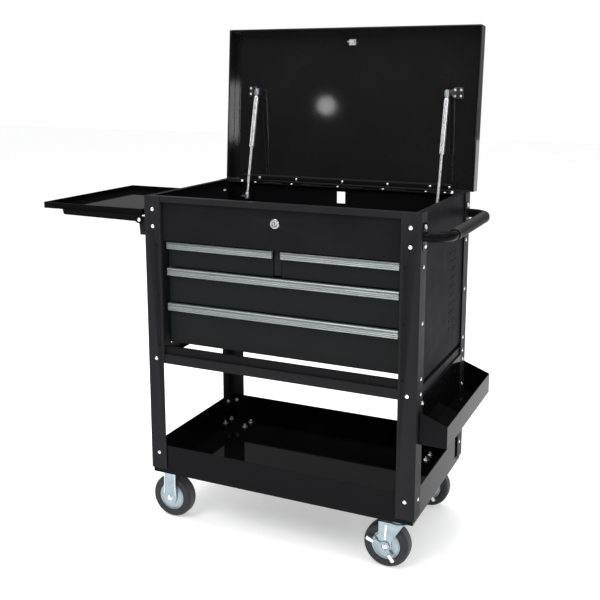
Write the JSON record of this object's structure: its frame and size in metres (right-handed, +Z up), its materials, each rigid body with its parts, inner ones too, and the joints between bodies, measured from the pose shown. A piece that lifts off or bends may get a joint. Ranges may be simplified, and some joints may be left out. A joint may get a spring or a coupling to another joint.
{
  "type": "tool cart",
  "caption": "Rolling tool cart with a lidded well on gas struts, slide-out drawers, open bottom tray, side bin, push handle and fold-down side shelf on casters.",
  "frame": {"origin": "on the floor below the centre of the cabinet", "axes": "+X along the width toward the push handle, +Y to the back, +Z up; the drawers open toward -Y"},
  "size_m": [1.1125, 0.5009, 1.2885],
  "materials": {
    "frame_paint": "satin black powder coat",
    "gloss_paint": "gloss black enamel",
    "drawer_paint": "satin charcoal powder coat",
    "pull_aluminium": "ribbed, brushed",
    "lock_chrome": "polished",
    "strut_steel": "polished",
    "zinc_steel": "zinc plated",
    "grip_rubber": "matt moulded sleeve",
    "tyre_rubber": "matt"
  },
  "bodies": {
    "cabinet": {"post_front_left": "frame_paint", "post_front_right": "frame_paint", "post_rear_left": "frame_paint", "post_rear_right": "frame_paint", "side_panel_left": "frame_paint", "side_panel_right": "frame_paint", "back_panel": "gloss_paint", "front_frame": "frame_paint", "compartment_floor": "gloss_paint", "drawer_divider": "frame_paint", "slide_rack_left": "zinc_steel", "slide_rack_right": "zinc_steel", "rail_front": "frame_paint", "rail_rear": "frame_paint", "rail_left": "frame_paint", "rail_right": "frame_paint", "bottom_tray": "gloss_paint", "hinge_leaf_body": "frame_paint", "strut_bracket_body_left": "zinc_steel", "strut_bracket_body_right": "zinc_steel", "lock_housing": "lock_chrome", "push_handle": "gloss_paint", "handle_grip": "grip_rubber", "side_bin": "gloss_paint", "shelf_bracket_front": "frame_paint", "shelf_bracket_rear": "frame_paint", "fixed_fork_front_left": "zinc_steel", "fixed_fork_rear_left": "zinc_steel", "swivel_plate_front_right": "zinc_steel", "swivel_plate_rear_right": "zinc_steel"},
    "lid": {"lid": "gloss_paint", "hinge_leaf_lid": "frame_paint", "strut_bracket_lid_left": "zinc_steel", "strut_bracket_lid_right": "zinc_steel"},
    "lock_plug": {"lock_plug": "lock_chrome"},
    "side_shelf": {"side_shelf": "gloss_paint"},
    "strut_rod_left": {"strut_rod_left": "strut_steel"},
    "strut_cylinder_left": {"strut_cylinder_left": "strut_steel"},
    "strut_rod_right": {"strut_rod_right": "strut_steel"},
    "strut_cylinder_right": {"strut_cylinder_right": "strut_steel"},
    "drawer_top_left": {"drawer_top_left": "drawer_paint", "pull_top_left": "pull_aluminium"},
    "drawer_top_right": {"drawer_top_right": "drawer_paint", "pull_top_right": "pull_aluminium"},
    "drawer_middle": {"drawer_middle": "drawer_paint", "pull_middle": "pull_aluminium"},
    "drawer_bottom": {"drawer_bottom": "drawer_paint", "pull_bottom": "pull_aluminium"},
    "wheel_front_left": {"tyre_front_left": "tyre_rubber", "hub_front_left": "zinc_steel"},
    "wheel_rear_left": {"tyre_rear_left": "tyre_rubber", "hub_rear_left": "zinc_steel"},
    "wheel_front_right": {"tyre_front_right": "tyre_rubber", "hub_front_right": "zinc_steel"},
    "wheel_rear_right": {"tyre_rear_right": "tyre_rubber", "hub_rear_right": "zinc_steel"},
    "swivel_front_right": {"swivel_fork_front_right": "zinc_steel"},
    "brake_front_right": {"brake_pedal_front_right": "zinc_steel"},
    "swivel_rear_right": {"swivel_fork_rear_right": "zinc_steel"},
    "brake_rear_right": {"brake_pedal_rear_right": "zinc_steel"}
  },
  "joints": [
    {"name": "lid_hinge", "type": "hinge", "parent": "cabinet", "child": "lid", "pos_m": [0, 0.215, 0.862], "axis": [1, 0, 0], "range_deg": [0, 94.2]},
    {"name": "strut_left_swing", "type": "hinge", "parent": "cabinet", "child": "strut_rod_left", "pos_m": [-0.28, 0.184, 0.818], "axis": [1, 0, 0], "range_deg": [0, 87.43]},
    {"name": "strut_left_slide", "type": "slide", "parent": "strut_rod_left", "child": "strut_cylinder_left", "axis": [0, 0.2225, 0.9749], "range_m": [-0.0723, 0]},
    {"name": "strut_right_swing", "type": "hinge", "parent": "cabinet", "child": "strut_rod_right", "pos_m": [0.28, 0.184, 0.818], "axis": [1, 0, 0], "range_deg": [0, 87.43]},
    {"name": "strut_right_slide", "type": "slide", "parent": "strut_rod_right", "child": "strut_cylinder_right", "axis": [0, 0.2225, 0.9749], "range_m": [-0.0723, 0]},
    {"name": "drawer_top_left_slide", "type": "slide", "parent": "cabinet", "child": "drawer_top_left", "axis": [0, -1, 0], "range_m": [0, 0.33]},
    {"name": "drawer_top_right_slide", "type": "slide", "parent": "cabinet", "child": "drawer_top_right", "axis": [0, -1, 0], "range_m": [0, 0.33]},
    {"name": "drawer_middle_slide", "type": "slide", "parent": "cabinet", "child": "drawer_middle", "axis": [0, -1, 0], "range_m": [0, 0.33]},
    {"name": "drawer_bottom_slide", "type": "slide", "parent": "cabinet", "child": "drawer_bottom", "axis": [0, -1, 0], "range_m": [0, 0.33]},
    {"name": "shelf_hinge", "type": "hinge", "parent": "cabinet", "child": "side_shelf", "pos_m": [-0.378, 0, 0.803], "axis": [0, -1, 0], "range_deg": [0, 90]},
    {"name": "lock_turn", "type": "hinge", "parent": "cabinet", "child": "lock_plug", "pos_m": [0, -0.2, 0.8175], "axis": [0, 1, 0], "range_deg": [0, 90]},
    {"name": "swivel_front_right_turn", "type": "hinge", "parent": "cabinet", "child": "swivel_front_right", "pos_m": [0.312, -0.171, 0.1], "axis": [0, 0, 1], "continuous": true},
    {"name": "brake_front_right_press", "type": "hinge", "parent": "swivel_front_right", "child": "brake_front_right", "pos_m": [0.2835, -0.171, 0.057], "axis": [0, -1, 0], "range_deg": [0, 20]},
    {"name": "swivel_rear_right_turn", "type": "hinge", "parent": "cabinet", "child": "swivel_rear_right", "pos_m": [0.312, 0.171, 0.1], "axis": [0, 0, 1], "continuous": true},
    {"name": "brake_rear_right_press", "type": "hinge", "parent": "swivel_rear_right", "child": "brake_rear_right", "pos_m": [0.2835, 0.171, 0.057], "axis": [0, -1, 0], "range_deg": [0, 20]},
    {"name": "wheel_front_left_spin", "type": "hinge", "parent": "cabinet", "child": "wheel_front_left", "pos_m": [-0.318, -0.171, 0.057], "axis": [0, 1, 0], "continuous": true},
    {"name": "wheel_rear_left_spin", "type": "hinge", "parent": "cabinet", "child": "wheel_rear_left", "pos_m": [-0.318, 0.171, 0.057], "axis": [0, 1, 0], "continuous": true},
    {"name": "wheel_front_right_spin", "type": "hinge", "parent": "swivel_front_right", "child": "wheel_front_right", "pos_m": [0.2835, -0.171, 0.057], "axis": [0, 1, 0], "continuous": true},
    {"name": "wheel_rear_right_spin", "type": "hinge", "parent": "swivel_rear_right", "child": "wheel_rear_right", "pos_m": [0.2835, 0.171, 0.057], "axis": [0, 1, 0], "continuous": true}
  ],
  "couplings": [
    {"joint": "strut_left_swing", "follows": "lid_hinge", "ratio": 0.9276},
    {"joint": "strut_left_slide", "follows": "lid_hinge", "m_per_rad": -0.043895},
    {"joint": "strut_right_swing", "follows": "lid_hinge", "ratio": 0.9276},
    {"joint": "strut_right_slide", "follows": "lid_hinge", "m_per_rad": -0.043895}
  ]
}
